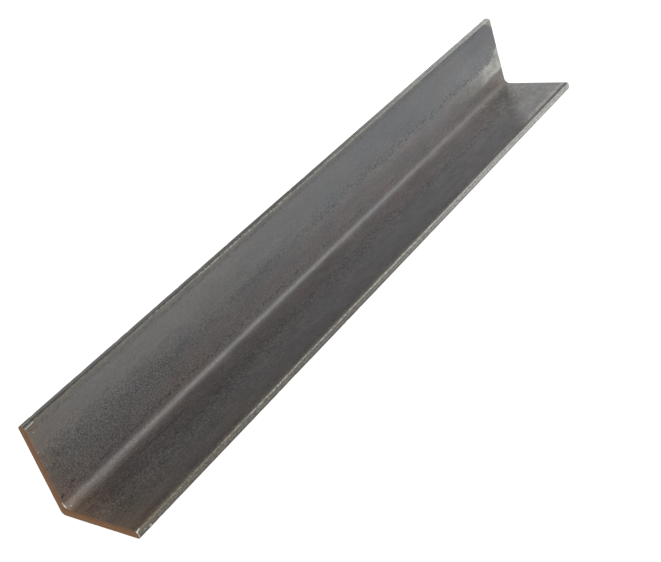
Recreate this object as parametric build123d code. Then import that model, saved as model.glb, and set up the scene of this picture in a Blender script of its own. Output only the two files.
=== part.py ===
from build123d import *
import os

# Hot-rolled equal-leg steel angle, cut to length. One rolled piece.
# It lies on its flat leg, with the other leg upright over the -X edge.
# X runs along the flat leg from heel to toe, Y along the bar, Z up the upright leg.
# Origin: middle of the bar's underside, halfway across the flat leg.

# Driving dimensions, in millimetres.
leg_width = 60.0          # outside of heel to end of toe, both legs alike
leg_thickness = 5.0
bar_length = 500.0
root_radius = 4.2         # hollow fillet between the inner faces
heel_radius = 3.0         # worn outer corner of the angle
toe_inner_radius = 1.8    # rolled corner where a toe meets its inner face
toe_outer_radius = 1.0    # small corner where a toe meets its outer face
cut_edge_break = 0.3      # dressed edge round both sawn ends

# Where the faces lie, from the sizes above.
heel_x = -leg_width / 2
toe_x = heel_x + leg_width
toe_z = leg_width
inner_x = heel_x + leg_thickness
inner_z = leg_thickness

HEEL = (heel_x, 0)
FLAT_TOE_OUTER = (toe_x, 0)
FLAT_TOE_INNER = (toe_x, inner_z)
ROOT = (inner_x, inner_z)
UPRIGHT_TOE_INNER = (inner_x, toe_z)
UPRIGHT_TOE_OUTER = (heel_x, toe_z)


def sharp_section():
    """The L with all its corners sharp, counter-clockwise from the heel, in local (X, Z)."""
    return Polygon(
        HEEL,
        FLAT_TOE_OUTER,
        FLAT_TOE_INNER,
        ROOT,
        UPRIGHT_TOE_INNER,
        UPRIGHT_TOE_OUTER,
        align=None,
    )


def round_corner(section, corner, radius):
    """Round the one corner of a flat section that stands at a given point."""
    vertex = section.vertices().sort_by_distance(Vector(*corner))[0]
    return fillet(vertex, radius)


def rolled_section():
    """The L as it leaves the rolls: filleted root, eased heel, and rounded toes."""
    corner_radii = [
        (ROOT, root_radius),
        (HEEL, heel_radius),
        (FLAT_TOE_INNER, toe_inner_radius),
        (FLAT_TOE_OUTER, toe_outer_radius),
        (UPRIGHT_TOE_INNER, toe_inner_radius),
        (UPRIGHT_TOE_OUTER, toe_outer_radius),
    ]
    section = sharp_section()
    for corner, radius in corner_radii:
        section = round_corner(section, corner, radius)
    return section


def angle_bar():
    """The section run along Y, square cut at both ends, with the cut edges dressed."""
    bar = extrude(Plane.XZ * rolled_section(), amount=bar_length / 2, both=True)
    end_faces = bar.faces().filter_by(Axis.Y)
    return chamfer(end_faces.edges(), cut_edge_break)


os.makedirs("parts", exist_ok=True)
export_step(angle_bar(), "parts/angle_section.step")
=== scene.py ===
"""Looks of a length of hot-rolled equal-leg steel angle, lying on a pale studio floor.

The bar is one mesh: a closed rolled skin and two sawn ends, worked out as grids of points. Its
finish is dark mill scale with a satin sheen, rubbed bright along the toes and at a few spots,
with brown rust on the sawn ends. Light is partly painted into the scale's tone: a painted
highlight along the root, painted sheen that grows towards the far end, a painted reflection on
the flat leg's far corner, and painted glints at the near end and along the toes' bright line.
The scene is in metres: X runs along the flat leg, Y along the bar and Z up the upright leg. The
bar's own sizes are in millimetres, up to its mesh.
"""

import logging
import math
from dataclasses import dataclass
from enum import Enum
from functools import cached_property

import bpy
import numpy as np
from mathutils import Matrix, Vector


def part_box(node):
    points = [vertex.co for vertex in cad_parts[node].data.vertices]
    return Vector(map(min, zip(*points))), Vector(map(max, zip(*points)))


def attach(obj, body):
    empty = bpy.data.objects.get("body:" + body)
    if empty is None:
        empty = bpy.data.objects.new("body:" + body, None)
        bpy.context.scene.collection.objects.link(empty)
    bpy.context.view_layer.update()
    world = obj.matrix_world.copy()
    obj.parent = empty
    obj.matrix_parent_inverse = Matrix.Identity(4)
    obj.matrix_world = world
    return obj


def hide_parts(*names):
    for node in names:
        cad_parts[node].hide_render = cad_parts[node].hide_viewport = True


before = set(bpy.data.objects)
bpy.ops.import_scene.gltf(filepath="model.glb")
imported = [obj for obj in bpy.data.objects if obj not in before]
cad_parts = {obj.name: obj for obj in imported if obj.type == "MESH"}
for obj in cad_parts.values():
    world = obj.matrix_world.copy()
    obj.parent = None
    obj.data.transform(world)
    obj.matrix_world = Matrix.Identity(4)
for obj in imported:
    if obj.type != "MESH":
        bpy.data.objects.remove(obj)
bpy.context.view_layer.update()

MM = 0.001
NODE = "angle_section"
BODY = "root"
PIECE = "rolled_angle_bar"
FRAME_PIXELS = 661

Colour = tuple[float, float, float]
Place = tuple[float, float, float]
Point = tuple[float, float]
Socket = bpy.types.NodeSocket
Feed = Socket | float | tuple[float, ...]

log = logging.getLogger("angle")


class Part(Enum):
    """The parts of the skin that the wear treats apart."""

    UPRIGHT = "inner side of the upright leg"
    FLAT = "inner side of the flat leg"
    OUTER = "all but the inner side"
    UPRIGHT_TOE = "upright toe, with the outer half of its inner corner"
    FLAT_TOE = "flat toe, with the outer half of its inner corner"


LEGS = (Part.UPRIGHT, Part.FLAT)


class Side(Enum):
    """The stretches of the section's outline."""

    OUTER = 0
    FLAT_TOE = 1
    INNER = 2
    UPRIGHT_TOE = 3


class Map(Enum):
    """The finish maps that the mesh carries, a number or a colour at each point."""

    AROUND = "around"
    TONE = "tone"
    TINT = "tint"
    FILM = "film"
    GRAIN = "grain"
    SPECKLE = "speckle"
    BURNISH = "burnish"
    DRY = "dry"
    RUST = "rust"
    ACROSS = "across"


# ---------------------------------------------------------------------------------------------
# Numbers on grids
# ---------------------------------------------------------------------------------------------


def rise(value: np.ndarray, low: float, high: float) -> np.ndarray:
    """A rise from 0 at low to 1 at high, along 3 t squared minus 2 t cubed.

    Args:
        value: numbers to grade.
        low: where the rise starts.
        high: where it ends. It may be less than low, and the rise is then a fall.

    Returns:
        The graded numbers, from 0 to 1.
    """
    share = np.clip((value - low) / (high - low), 0.0, 1.0)
    return share * share * (3.0 - 2.0 * share)


def hump(value: np.ndarray, centre: float, spread: float) -> np.ndarray:
    """A bell of height 1: e to the minus half the squared distance in spreads."""
    return np.exp(-0.5 * ((value - centre) / spread) ** 2)


def blend(first: np.ndarray, second: np.ndarray, share: np.ndarray) -> np.ndarray:
    """The first number where the share is 0, the second where it is 1, and between."""
    return first + (second - first) * share


def random_hills(seed: int, along: np.ndarray, around: np.ndarray, cell: Point, turn: float,
                 octaves: int) -> np.ndarray:
    """Soft random hills over the rolled skin, from about -1 to 1.

    Each octave is a lattice of random heights, read between its points with weights
    3 t squared minus 2 t cubed both ways. The next octave has cells half as large and
    heights half as high. Around the section the lattice closes on itself.

    Args:
        seed: picks the random heights.
        along: distances along the bar.
        around: distances around the section, in the same shape.
        cell: the first octave's cell, along the bar and around the section.
        turn: the section's whole girth.
        octaves: how many lattices are added up.

    Returns:
        Heights in the shape of the inputs.
    """
    spread = 1.6
    random = np.random.default_rng(seed)
    total = np.zeros(along.shape)
    whole = 0.0
    for octave in range(octaves):
        weight = 0.5 ** octave
        u = (along - along.min()) / (cell[0] * weight)
        columns = max(int(round(turn / (cell[1] * weight))), 2)
        v = around / turn * columns
        rows = int(np.ceil(u.max())) + 2
        lattice = random.uniform(-1.0, 1.0, (rows, columns))
        i, j = np.floor(u).astype(int), np.floor(v).astype(int)
        along_share, around_share = rise(u - i, 0.0, 1.0), rise(v - j, 0.0, 1.0)
        j, beside = j % columns, (j + 1) % columns
        here = blend(lattice[i, j], lattice[i, beside], around_share)
        there = blend(lattice[i + 1, j], lattice[i + 1, beside], around_share)
        total += weight * blend(here, there, along_share)
        whole += weight
    return spread * total / whole


class Ease:
    """A number that eases from each knot to the next, along 3 t squared minus 2 t cubed.

    Attributes:
        knots: values in rising order, and the number at each.
    """

    def __init__(self, *knots: Point) -> None:
        """Keeps the knots."""
        self.knots = knots

    def of(self, value: np.ndarray) -> np.ndarray:
        """The number at each value, level before the first knot and after the last."""
        number = np.full(np.shape(value), float(self.knots[0][1]))
        for (low, start), (high, end) in zip(self.knots, self.knots[1:]):
            number = number + (end - start) * rise(value, low, high)
        return number


def level(height: float) -> Ease:
    """The same height everywhere."""
    return Ease((0, height))


def climb(low: float, high: float, top: float = 1.0) -> Ease:
    """A rise from 0, up to the low value, to the top from the high value on."""
    return Ease((low, 0), (high, top))


def fall(low: float, high: float, top: float = 1.0) -> Ease:
    """A fall from the top, up to the low value, to 0 from the high value on."""
    return Ease((low, top), (high, 0))


@dataclass(frozen=True)
class Bell:
    """A number that rises and falls as a bell.

    Fields:
        centre: value at its middle.
        spread: how wide it is, as a standard deviation.
        height: the number at its middle.
    """

    centre: float
    spread: float
    height: float = 1.0

    def of(self, value: np.ndarray) -> np.ndarray:
        """The number at each value."""
        return self.height * hump(value, self.centre, self.spread)


# ---------------------------------------------------------------------------------------------
# The section and the skin
# ---------------------------------------------------------------------------------------------


@dataclass(frozen=True)
class Path:
    """Points along part of the section's outline.

    Fields:
        points: (n, 2) X and Z.
        normals: (n, 2) directions out of the metal.
    """

    points: np.ndarray
    normals: np.ndarray

    def then(self, other: "Path") -> "Path":
        """This path and the next, which starts where this one ends."""
        return Path(np.vstack([self.points, other.points[1:]]),
                    np.vstack([self.normals, other.normals[1:]]))

    @staticmethod
    def straight(start: Point, end: Point, steps: int, normal: Point) -> "Path":
        """A straight stretch: start plus t times the way to the end, t from 0 to 1.

        Args:
            start: first point.
            end: last point.
            steps: number of equal steps.
            normal: direction out of the metal, the same all along.

        Returns:
            The stretch, both ends included.
        """
        share = np.linspace(0.0, 1.0, steps + 1)[:, None]
        points = np.array(start) * (1 - share) + np.array(end) * share
        return Path(points, np.tile(np.array(normal, float), (steps + 1, 1)))

    @staticmethod
    def round(centre: Point, radius: float, first: float, last: float, steps: int,
              hollow: bool = False) -> "Path":
        """A round stretch: centre plus radius times cosine and sine of an even turn.

        Args:
            centre: middle of the circle.
            radius: its radius.
            first: angle of the first point, in degrees from +X towards +Z.
            last: angle of the last point.
            steps: number of equal steps.
            hollow: the metal is outside the circle, as at the root.

        Returns:
            The stretch, both ends included.
        """
        angle = np.radians(np.linspace(first, last, steps + 1))
        out = np.column_stack([np.cos(angle), np.sin(angle)])
        return Path(np.array(centre) + radius * out, -out if hollow else out)


@dataclass(frozen=True)
class Section:
    """The rolled L: its real sizes in millimetres, and how finely its outline is divided.

    The outline runs from the upright toe down the outer side, round the heel and out to
    the flat toe, over that toe, back along the inner side through the root, up to the
    upright toe and over it.
    """

    heel_x: float
    leg_width: float
    thickness: float = 5.0
    root_radius: float = 4.2
    heel_radius: float = 3.0
    toe_inner_radius: float = 1.8
    toe_outer_radius: float = 1.0
    face_steps: int = 49
    corner_steps: int = 7
    bend_steps: int = 10
    toe_steps: int = 8

    @property
    def inner_x(self) -> float:
        """X of the upright leg's inner face."""
        return self.heel_x + self.thickness

    @property
    def toe_x(self) -> float:
        """X of the flat leg's toe."""
        return self.heel_x + self.leg_width

    @property
    def inner_width(self) -> float:
        """Width of an inner face, from the other leg's inner face to the toe."""
        return self.leg_width - self.thickness

    @property
    def side_steps(self) -> int:
        """Steps along the outer side, and as many along the inner side."""
        return 2 * (self.corner_steps + self.face_steps) + self.bend_steps

    def outer_side(self) -> Path:
        """The outline from the upright toe's flat down, round the heel, to the flat toe."""
        r, h = self.toe_outer_radius, self.heel_radius
        left, top, right = self.heel_x, self.leg_width, self.toe_x
        path = Path.round((left + r, top - r), r, 90, 180, self.corner_steps)
        path = path.then(Path.straight((left, top - r), (left, h), self.face_steps, (-1, 0)))
        path = path.then(Path.round((left + h, h), h, 180, 270, self.bend_steps))
        floor = Path.straight((left + h, 0), (right - r, 0), self.face_steps, (0, -1))
        return path.then(floor).then(Path.round((right - r, r), r, 270, 360, self.corner_steps))

    def inner_side(self) -> Path:
        """The outline from the upright toe's flat down, through the root, to the flat toe."""
        r, f = self.toe_inner_radius, self.root_radius
        left, low, top, right = self.inner_x, self.thickness, self.leg_width, self.toe_x
        path = Path.round((left - r, top - r), r, 90, 0, self.corner_steps)
        path = path.then(Path.straight((left, top - r), (left, low + f), self.face_steps, (1, 0)))
        path = path.then(Path.round((left + f, low + f), f, 180, 270, self.bend_steps, hollow=True))
        flat = Path.straight((left + f, low), (right - r, low), self.face_steps, (0, 1))
        return path.then(flat).then(Path.round((right - r, low - r), r, 90, 0, self.corner_steps))

    def outline(self) -> tuple[Path, np.ndarray]:
        """The whole outline as a ring, in the order that Section describes.

        Returns:
            The ring, whose last point doesn't repeat its first, and each point's Side.
        """
        outer, inner = self.outer_side(), self.inner_side()
        flat_toe = Path.straight(outer.points[-1], inner.points[-1], self.toe_steps, (1, 0))
        up_toe = Path.straight(inner.points[0], outer.points[0], self.toe_steps, (0, 1))
        back = Path(inner.points[::-1], inner.normals[::-1])
        ring = outer.then(flat_toe).then(back).then(up_toe)
        counts = {
            Side.OUTER: self.side_steps + 1,
            Side.FLAT_TOE: self.toe_steps - 1,
            Side.INNER: self.side_steps + 1,
            Side.UPRIGHT_TOE: self.toe_steps - 1,
        }
        sides = np.concatenate([np.full(n, side.value) for side, n in counts.items()])
        return Path(ring.points[:-1], ring.normals[:-1]), sides


class Skin:
    """Where each point of the rolled skin lies, as arrays of one row for each ring.

    Attributes:
        section: the section.
        ring: its outline.
        turn: its whole girth.
        y: distance along the bar from its middle.
        x: distance across the flat leg.
        z: height.
        around: distance round the section.
        inner: 1 on the inner side, 0 elsewhere.
        upright: 1 on the upright leg, 0 on the flat one, and between in the root.
        reach: distance from the other leg's inner face.
        along: share of the way along the bar.
        out: share of the way out from the other leg's inner face to the toe.
        parts: 1 on each part of the skin, 0 elsewhere, and between where two parts meet.
    """

    def __init__(self, section: Section, stations: np.ndarray) -> None:
        """Lays the arrays out.

        Args:
            section: the section.
            stations: Y of each ring.
        """
        self.section = section
        self.ring, sides = section.outline()
        ends = np.vstack([self.ring.points, self.ring.points[:1]])
        lengths = np.linalg.norm(np.diff(ends, axis=0), axis=1)
        around = np.concatenate([[0.0], np.cumsum(lengths)[:-1]])
        self.turn = float(lengths.sum())
        shape = (len(stations), len(around))
        self.y = np.broadcast_to(stations[:, None], shape)
        self.around = np.broadcast_to(around[None], shape)
        self.x = np.broadcast_to(self.ring.points[None, :, 0], shape)
        self.z = np.broadcast_to(self.ring.points[None, :, 1], shape)
        self.inner = self.where(sides, Side.INNER)
        above, beyond = self.z - section.thickness, self.x - section.inner_x
        half_root = 0.5 * section.root_radius
        self.upright = rise(above - beyond, -half_root, half_root)
        self.reach = np.maximum(above, beyond)
        self.along = (self.y - self.y.min()) / (self.y.max() - self.y.min())
        self.out = np.clip(self.reach / section.inner_width, 0, 1)
        bend = section.inner_width - 0.6 * section.toe_inner_radius
        corner = self.inner * rise(self.reach, bend, bend + 0.4 * section.toe_inner_radius)
        self.parts = {
            Part.UPRIGHT: self.inner * self.upright,
            Part.FLAT: self.inner * (1 - self.upright),
            Part.OUTER: 1 - self.inner,
            Part.UPRIGHT_TOE: self.where(sides, Side.UPRIGHT_TOE) + corner * self.upright,
            Part.FLAT_TOE: self.where(sides, Side.FLAT_TOE) + corner * (1 - self.upright),
        }

    def where(self, sides: np.ndarray, side: Side) -> np.ndarray:
        """1 at the points of one side of the outline, 0 elsewhere."""
        return np.broadcast_to((sides == side.value)[None], self.y.shape) * 1.0

    def place(self, leg: Part, reach: float) -> float:
        """Distance round the section of a place on the inner side.

        Args:
            leg: the leg that the place is on.
            reach: the place's distance from the other leg's inner face, and beyond the
                leg's width, the distance on over the toe's flat.

        Returns:
            The distance, read between the outline's points.
        """
        chosen = self.parts[leg][0] > 0.5
        reaches, around = self.reach[0][chosen], self.around[0][chosen]
        order = np.argsort(reaches)
        way = 1 if leg is Part.UPRIGHT else -1
        beyond = max(reach - self.section.inner_width, 0.0)
        return float(np.interp(reach, reaches[order], around[order])) + way * beyond


# ---------------------------------------------------------------------------------------------
# Wear
# ---------------------------------------------------------------------------------------------


@dataclass(frozen=True)
class Hills:
    """Soft random hills over the skin.

    Fields:
        seed: picks their heights.
        along: size of the largest ones along the bar.
        around: their size around the section.
        height: about the greatest height above 0, and depth below it.
        octaves: how many layers they have, each with hills half as large as the last.
        cut: turns the heights, from -1 to 1, into others before the height counts.
    """

    seed: int
    along: float
    around: float
    height: float = 1.0
    octaves: int = 3
    cut: Ease | None = None

    def over(self, skin: Skin) -> np.ndarray:
        """The hills' heights over the skin."""
        cell = (self.along, self.around)
        heights = random_hills(self.seed, skin.y, skin.around, cell, skin.turn, self.octaves)
        return self.height * (self.cut.of(heights) if self.cut else heights)


@dataclass(frozen=True)
class Spot:
    """A small round or long spot on the inner side of a leg.

    Fields:
        leg: which leg it is on.
        along: Y of its middle.
        reach: distance of its middle from the other leg's inner face.
        strength: how strong it is, or how deep.
        length: its spread along the bar.
        width: its spread across the leg.
    """

    leg: Part
    along: float
    reach: float
    strength: float
    length: float
    width: float

    def over(self, skin: Skin) -> np.ndarray:
        """The spot's bell over the skin: one hump along the bar times one across the leg."""
        bell = hump(skin.y, self.along, self.length) * hump(skin.reach, self.reach, self.width)
        return self.strength * bell * skin.parts[self.leg]


@dataclass(frozen=True)
class Mark:
    """A thin straight mark on the inner side of a leg: a scratch, a fleck or a glint.

    Fields:
        leg: which leg it is on.
        start: Y and reach of one end.
        end: Y and reach of the other.
        width: how far it reaches to each side.
        strength: how much it darkens the scale, or below 0 how bright it shines.
    """

    leg: Part
    start: Point
    end: Point
    width: float
    strength: float


@dataclass(frozen=True)
class Zone:
    """A named place on the skin, whose height is the product of the fields that are given.

    Fields:
        name: what the place is.
        along: its height over the share of the way along the bar.
        reach: its height over the distance from the other leg's inner face.
        part: the part of the skin that it is kept to.
        hills: random heights that break it up.
        wander: random distances that its borders across the leg wander by.
    """

    name: str
    along: Ease | None = None
    reach: Ease | Bell | None = None
    part: Part | None = None
    hills: Hills | None = None
    wander: Hills | None = None

    def over(self, skin: Skin) -> np.ndarray:
        """The zone's height over the skin."""
        height = np.ones(skin.y.shape)
        if self.along:
            height = height * self.along.of(skin.along)
        if self.reach:
            shift = self.wander.over(skin) if self.wander else 0.0
            height = height * self.reach.of(skin.reach + shift)
        if self.part:
            height = height * skin.parts[self.part]
        if self.hills:
            height = height * self.hills.over(skin)
        return height


def heights(skin: Skin, *places: Zone | Spot | Hills) -> np.ndarray:
    """The sum of several places' heights over the skin."""
    return sum(place.over(skin) for place in places)


@dataclass(frozen=True)
class Shade:
    """A number that changes evenly over a face, given at its four corners.

    Fields:
        near_root: beside the root, at the -Y end.
        near_toe: beside the toe, at the -Y end.
        far_root: beside the root, at the +Y end.
        far_toe: beside the toe, at the +Y end.
    """

    near_root: float
    near_toe: float
    far_root: float
    far_toe: float

    def over(self, skin: Skin) -> np.ndarray:
        """The corners' values, spread evenly along the bar and out from the root."""
        near = blend(self.near_root, self.near_toe, skin.out)
        far = blend(self.far_root, self.far_toe, skin.out)
        return blend(near, far, skin.along)


@dataclass(frozen=True)
class Wear:
    """How the scale varies over the skin: its tone, hue, film, grain, rubbed places and rust.
    Its tone also carries painted light: a painted highlight along the root, painted sheen towards
    the far end and on the toes, and a painted reflection on the flat leg's far corner.

    Lengths are in millimetres, and places along the bar are shares of its length.

    Fields:
        upright: lightness of the upright leg's inner face, as a share of the plain scale; its rise
            towards the far end is partly painted sheen, where the view grazes the face.
        flat: lightness of the flat leg's inner face; its rise towards the far end is partly painted
            sheen too.
        upright_film: how clear and whole the glossy film is on the upright leg.
        flat_film: how clear and whole the glossy film is on the flat leg.
        outer_film: the same on the outer side.
        root_film: the same in the root.
        root_light: how much lighter the painted highlight along the root makes the scale.
        fringe_light: how much lighter it is beside the rusty sawn end.
        fringe_brown: how much browner it is there.
        rim_dark: how much darker it is on the toes' outer corners.
        rim_dry: how dry it is there.
        rim_bare: how much of the film is gone there.
        corner_light: how much lighter the scale is painted on the flat leg's far corner, as a painted
        reflection of the surround seen past the upright leg's far end.
        corner_slant: how far the line that bounds that corner comes back along the bar for
            each step out from the root.
        corner_start: Y at which that line would meet the root.
        clouds: broad places that are lighter, or below 0 darker, than the rest.
        brown: tint of the warm places.
        blue: tint of the cool places.
        plum: tint beside the root.
        cream: tint of the toes.
        far_flat: the flat leg's far end, which isn't plum.
        far_brown: how brown that end is.
        far_cream: how much of the cream tint it has.
        toes: the toes' inner corners, across both legs.
    """

    # The faces' shades rise towards the far end partly as painted light: a painted sheen where the view
    # grazes the faces.
    upright: Shade = Shade(0.93, 0.92, 1.33, 1.03)
    flat: Shade = Shade(0.86, 0.60, 1.18, 0.86)
    upright_film: Shade = Shade(0.85, 0.83, 0.78, 0.29)
    flat_film: Shade = Shade(0.6, 0.22, 0.66, 0.74)
    outer_film: float = 0.7
    root_film: Ease = Ease((0.1, 0.4), (1, 0.05))
    root_light: float = 0.5
    fringe_light: float = 0.12
    fringe_brown: float = 0.5
    rim_dark: float = 0.6
    rim_dry: float = 0.7
    rim_bare: float = 0.8
    corner_light: float = 0.18
    corner_slant: float = 1.41
    corner_start: float = 254.0
    clouds: tuple[Spot, ...] = (
        Spot(Part.UPRIGHT, -227, 45, -0.12, 19, 7),
        Spot(Part.UPRIGHT, -230, 17, 0.08, 20, 8),
        Spot(Part.UPRIGHT, -246, 32, 0.12, 4, 4),
        Spot(Part.UPRIGHT, -30, 31.5, 0.06, 110, 3),
        Spot(Part.UPRIGHT, 110, 22.5, 0.08, 60, 2.5),
        Spot(Part.UPRIGHT, 207, 12, 0.09, 12, 4),
        Spot(Part.UPRIGHT, -85, 32, 0.12, 70, 6),
        Spot(Part.UPRIGHT, 110, 48, -0.1, 65, 6),
        Spot(Part.UPRIGHT, 194, 43, -0.15, 28, 7),
        Spot(Part.UPRIGHT, 213, 28.5, -0.21, 17, 3.5),
        Spot(Part.UPRIGHT, -60, 7.3, 0.07, 120, 1.3),
        Spot(Part.UPRIGHT, 146, 21, 0.12, 35, 5),
        Spot(Part.UPRIGHT, 110, 8, 0.07, 80, 5),
        Spot(Part.FLAT, -110, 12, -0.14, 50, 7),
        Spot(Part.FLAT, -245, 24, 0.15, 9, 9),
        Spot(Part.FLAT, -167, 18, -0.05, 18, 3),
        Spot(Part.FLAT, 130, 24, 0.07, 55, 2.5),
        Spot(Part.FLAT, 30, 43, -0.19, 75, 6),
        Spot(Part.FLAT, -145, 47, -0.14, 50, 7),
        Spot(Part.FLAT, -145, 27, -0.05, 40, 12),
        Spot(Part.FLAT, 152, 26, 0.15, 38, 8),
        Spot(Part.FLAT, 210, 11, 0.09, 15, 6),
        Spot(Part.FLAT, 232, 48, 0.12, 15, 5),
        Spot(Part.FLAT, 229, 25, -0.1, 13, 6),
    )
    brown: Colour = (1.22, 1.00, 0.82)
    blue: Colour = (0.96, 1.00, 1.06)
    plum: Colour = (1.15, 1.00, 0.99)
    cream: Colour = (0.99, 1.00, 0.86)
    far_flat: Zone = Zone("far end of the flat leg", climb(0.85, 0.93), fall(51, 53.5), Part.FLAT)
    far_brown: float = 0.3
    far_cream: float = 0.15
    toes: Ease = climb(51, 53.5)

    def maps(self, skin: Skin) -> dict[Map, np.ndarray]:
        """Every finish map over the skin."""
        return {
            Map.AROUND: skin.around * MM,
            Map.TONE: self.tone(skin),
            Map.TINT: self.tint(skin),
            Map.FILM: self.film(skin),
            Map.GRAIN: self.grain(skin),
            Map.SPECKLE: self.speckle(skin),
            Map.BURNISH: self.burnish(skin),
            Map.DRY: self.dry(skin),
            Map.RUST: self.rust(skin),
        }

    def tone(self, skin: Skin) -> np.ndarray:
        """Lightness of the scale: the faces', the root's painted highlight, then the toes'."""
        inner = blend(self.flat_tone(skin), self.upright_tone(skin), skin.upright)
        inner = inner * (1 + self.root_light * self.root_highlight_band(skin))
        inner = inner * (1 + self.fringe_light * self.fringe(skin))
        inner = inner * (1 + heights(skin, *self.clouds))
        outer = 1 + heights(skin, Hills(26, 12, 8, 0.1), Hills(27, 120, 9, 0.14))
        tone = np.where(skin.inner > 0, inner, outer)
        # The toes grow much lighter towards the far end: partly rubbed steel, partly painted sheen where
        # the view grazes them.
        up_toe, flat_toe = Ease((0.42, 0.2), (0.95, 2.4)), Ease((0.37, 0.82), (0.83, 3.05))
        tone = blend(tone, up_toe.of(skin.along), skin.parts[Part.UPRIGHT_TOE])
        tone = blend(tone, flat_toe.of(skin.along), skin.parts[Part.FLAT_TOE])
        groove = Zone("dark groove inside the flat toe", climb(0.64, 0.76, 0.35), Bell(54.2, 0.5),
                      Part.FLAT)
        tone = tone * (1 - groove.over(skin)) * (1 - self.rim_dark * self.rim(skin))
        return tone * (1 + Hills(11, 60, 14, 0.04).over(skin))

    def rim(self, skin: Skin) -> np.ndarray:
        """1 on the toes' outer corners, which are dull: less on the flat toe's far end."""
        section = skin.section
        back = Ease((0.8 * section.toe_outer_radius, 1), (1.8 * section.toe_outer_radius, 0))
        up_back = np.maximum(section.leg_width - skin.z, skin.x - section.heel_x)
        flat_back = np.maximum(section.toe_x - skin.x, skin.z)
        near = Ease((0.55, 1), (0.85, 0.2)).of(skin.along)
        return back.of(up_back) + near * back.of(flat_back)

    def fringe(self, skin: Skin) -> np.ndarray:
        """1 beside the rusty sawn end, fading over a few millimetres."""
        return skin.inner * fall(0.2, 3).of(skin.y - skin.y.min())

    def root_highlight_band(self, skin: Skin) -> np.ndarray:
        """A painted highlight along the root, wider at the near end, with a painted shoulder of light
        beside it.
        """
        aside = 3.3
        middle = skin.place(Part.UPRIGHT, skin.section.root_radius) - aside
        centre = middle + Ease((0.03, -0.9), (0.2, 0.5)).of(skin.along)
        width = Ease((0, 2.4), (0.35, 0.9)).of(skin.along)
        fade = Ease((0.05, 1), (0.3, 0.5), (0.55, 0.5), (0.85, 0)).of(skin.along)
        band = hump(skin.around, centre, width) * fade * (1 + Hills(34, 12, 40, 0.25).over(skin))
        width = Ease((0, 1.8), (0.12, 1.3)).of(skin.along)
        fade = Ease((0, 1.15), (0.12, 0.45), (0.5, 0.45), (0.8, 0.7)).of(skin.along)
        return skin.inner * (band + fade * hump(skin.around, middle - aside, width))

    def upright_tone(self, skin: Skin) -> np.ndarray:
        """Lightness of the upright leg's inner face, with a light band in its far half."""
        seam = Ease((0, 0), (0.1, -0.27), (0.3, -0.27), (0.8, -0.108))
        return self.upright.over(skin) * (1 + heights(
            skin,
            Zone("light band", climb(0.3, 0.75, 0.25), Bell(25.5, 5)),
            Zone("broad middle", climb(0.2, 0.6, 0.14), Bell(28, 12)),
            Zone("dull toe", fall(0.3, 0.7, -0.1), climb(52.8, 53.6)),
            Zone("near tip", fall(0.015, 0.035, -0.07), climb(18, 26)),
            Zone("near toe", fall(0, 0.08, -0.13), climb(30, 42)),
            Zone("far shade", climb(0.86, 0.95, -0.15), Bell(43, 4)),
            Zone("seam below the toe", seam, Bell(51.6, 0.8)),
            Zone("blotches", reach=fall(32, 46), hills=Hills(35, 9, 4, 0.08)),
            Hills(21, 50, 4, 0.04),
        ))

    def flat_tone(self, skin: Skin) -> np.ndarray:
        """Lightness of the flat leg's inner face: blotched, dark beside its toe, with a painted reflection
        on its far corner.
        """
        start, stop = 0.84, 0.92
        middle = Ease((0.6, 0), (0.8, 0.1), (0.9, 0.1), (0.95, 0))
        return self.flat.over(skin) * (1 + heights(
            skin,
            Zone("far shoulder", climb(start, stop, 0.4), Bell(50.7, 1)),
            Zone("far groove", climb(start, stop, -0.6), Bell(53.6, 0.8)),
            Zone("far flecks", climb(start, stop, 0.16), hills=Hills(32, 3, 3, octaves=1)),
            Zone("dark toe", fall(start, stop, -0.2), climb(44, 52)),
            Zone("light edge", fall(start, stop, 0.3), Bell(53.8, 1)),
            Zone("near tip", fall(0, 0.035, 0.25), climb(5, 12)),
            Zone("by the root", climb(0.55, 0.8, 0.12), fall(4, 14)),
            Zone("far root", climb(0.88, 0.97, 0.132), fall(8, 22)),
            Zone("far middle", middle, fall(28, 38)),
            Hills(23, 9, 4, 0.15),
            Hills(24, 60, 6, 0.1),
        # A painted reflection lightens the flat leg's far corner.
        ) + self.corner_light * self.reflection_corner(skin))

    def reflection_corner(self, skin: Skin) -> np.ndarray:
        """1 on the flat leg's far corner, which is lightened as a painted reflection of the surround seen
        past the upright leg's far end.
        """
        return climb(-7, 9).of(self.past(skin)) * skin.parts[Part.FLAT]

    def past(self, skin: Skin) -> np.ndarray:
        """How far a place lies past the slanting line that bounds that corner."""
        return skin.y + self.corner_slant * skin.reach - self.corner_start

    def tint(self, skin: Skin) -> np.ndarray:
        """Colour of the scale, as white plus a share of each tint's own lean.

        The near end is brown, the upright leg turns blue towards its far end and toe, a
        ragged plum band runs beside the root, and the toes are cream.
        """
        faces = 1 - self.toes.of(skin.reach)
        off_root = Ease((2, 0.5), (5, 1)).of(skin.reach)
        shares = {
            self.brown: self.browned(skin) + self.fringe_brown * self.fringe(skin) * faces,
            self.blue: self.blued(skin) * faces,
            self.plum: self.plummed(skin) * faces * off_root,
            self.cream: self.creamed(skin),
        }
        lean = sum(share[..., None] * (np.array(tint) - 1) for tint, share in shares.items())
        return 1 + lean

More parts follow.
